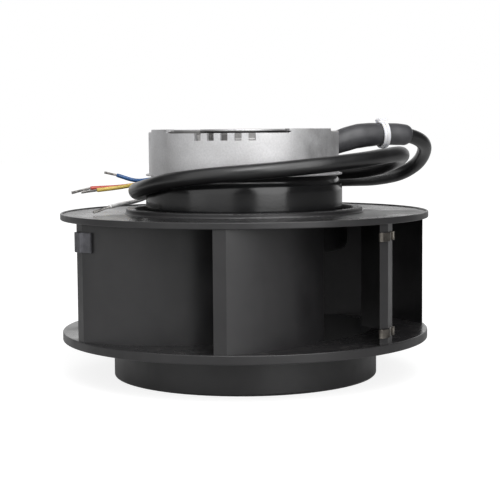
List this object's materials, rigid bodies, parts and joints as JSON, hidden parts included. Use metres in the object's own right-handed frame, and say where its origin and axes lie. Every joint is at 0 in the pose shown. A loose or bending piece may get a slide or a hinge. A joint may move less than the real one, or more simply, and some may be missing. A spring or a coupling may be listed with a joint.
{
  "type": "backward-curved centrifugal fan with external-rotor dc motor",
  "caption": "Backward-curved centrifugal fan wheel turning on an external-rotor direct-current motor, with a die-cast motor housing, an inlet neck and a round flying lead ending in bare wires.",
  "frame": {"origin": "on the fan axis, in the plane of the inlet neck's lower edge, on which the fan stands", "axes": "+Z along the fan axis from the inlet neck to the motor housing, +X towards the side where the lead's outer turn lies, the drain slots face -Y"},
  "size_m": [0.2361, 0.225, 0.1568],
  "materials": {
    "black_plastic": "satin moulded",
    "painted_steel": "satin black paint",
    "cast_aluminium": "fine die-cast grain",
    "machined_steel": "ground",
    "zinc_steel": "zinc plated",
    "spring_steel": "blued spring steel",
    "clip_steel": "bright spring steel",
    "core_steel": "laminated electrical steel",
    "ferrite": "sintered ferrite",
    "copper": "enamelled copper wire",
    "bronze_pin": "plated pins",
    "ivory_plastic": "moulded",
    "insulating_board": "pressed board",
    "green_board": "solder mask",
    "capacitor_can": "sleeved can",
    "chip_black": "moulded package",
    "dark_plastic": "moulded",
    "sleeve_rubber": "shrunk sleeve",
    "cable_jacket": "smooth jacket",
    "natural_nylon": "translucent nylon",
    "blue_insulation": "smooth",
    "yellow_insulation": "smooth",
    "red_insulation": "smooth",
    "white_insulation": "smooth",
    "tinned_copper": "tinned strands"
  },
  "bodies": {
    "stator": {"motor_housing": "cast_aluminium", "bearing_cap": "cast_aluminium", "cap_screws": "zinc_steel", "wiring_cover": "dark_plastic", "cover_screws": "zinc_steel", "cable_clamp": "dark_plastic", "clamp_screws": "zinc_steel", "stator_core": "core_steel", "lower_bobbin": "ivory_plastic", "upper_bobbin": "ivory_plastic", "stator_coils": "copper", "stator_cover": "insulating_board", "phase_pins": "bronze_pin", "circuit_board": "green_board", "capacitors": "capacitor_can", "power_transistors": "chip_black", "hall_sensors": "chip_black", "wire_header": "ivory_plastic", "board_leads": "tinned_copper", "board_screws": "zinc_steel", "lower_bearing_outer": "machined_steel", "upper_bearing_outer": "machined_steel", "preload_spring": "spring_steel", "supply_cable": "cable_jacket", "cable_sleeve": "sleeve_rubber", "cable_tie": "natural_nylon", "blue_wire": "blue_insulation", "yellow_wire": "yellow_insulation", "red_wire": "red_insulation", "white_wire": "white_insulation", "bare_wire_ends": "tinned_copper"},
    "rotor": {"inlet_shroud": "black_plastic", "impeller_disc": "black_plastic", "blade_1": "black_plastic", "blade_2": "black_plastic", "blade_3": "black_plastic", "blade_4": "black_plastic", "blade_5": "black_plastic", "blade_6": "black_plastic", "blade_7": "black_plastic", "balance_clip_1": "spring_steel", "balance_clip_2": "clip_steel", "balance_clip_3": "clip_steel", "rotor_cup": "painted_steel", "magnet_segments": "ferrite", "shaft_bush": "machined_steel", "motor_shaft": "machined_steel", "shaft_circlip": "spring_steel", "hub_screws": "zinc_steel", "lower_bearing_inner": "machined_steel", "upper_bearing_inner": "machined_steel"},
    "lower_balls": {"lower_bearing_balls": "machined_steel"},
    "upper_balls": {"upper_bearing_balls": "machined_steel"}
  },
  "joints": [
    {"name": "rotor_spin", "type": "hinge", "parent": "stator", "child": "rotor", "pos_m": [0, 0, 0.11], "axis": [0, 0, 1], "continuous": true},
    {"name": "lower_balls_spin", "type": "hinge", "parent": "stator", "child": "lower_balls", "pos_m": [0, 0, 0.0965], "axis": [0, 0, 1], "continuous": true},
    {"name": "upper_balls_spin", "type": "hinge", "parent": "stator", "child": "upper_balls", "pos_m": [0, 0, 0.1345], "axis": [0, 0, 1], "continuous": true}
  ],
  "couplings": [
    {"joint": "lower_balls_spin", "follows": "rotor_spin", "ratio": 0.3667},
    {"joint": "upper_balls_spin", "follows": "rotor_spin", "ratio": 0.3667}
  ]
}
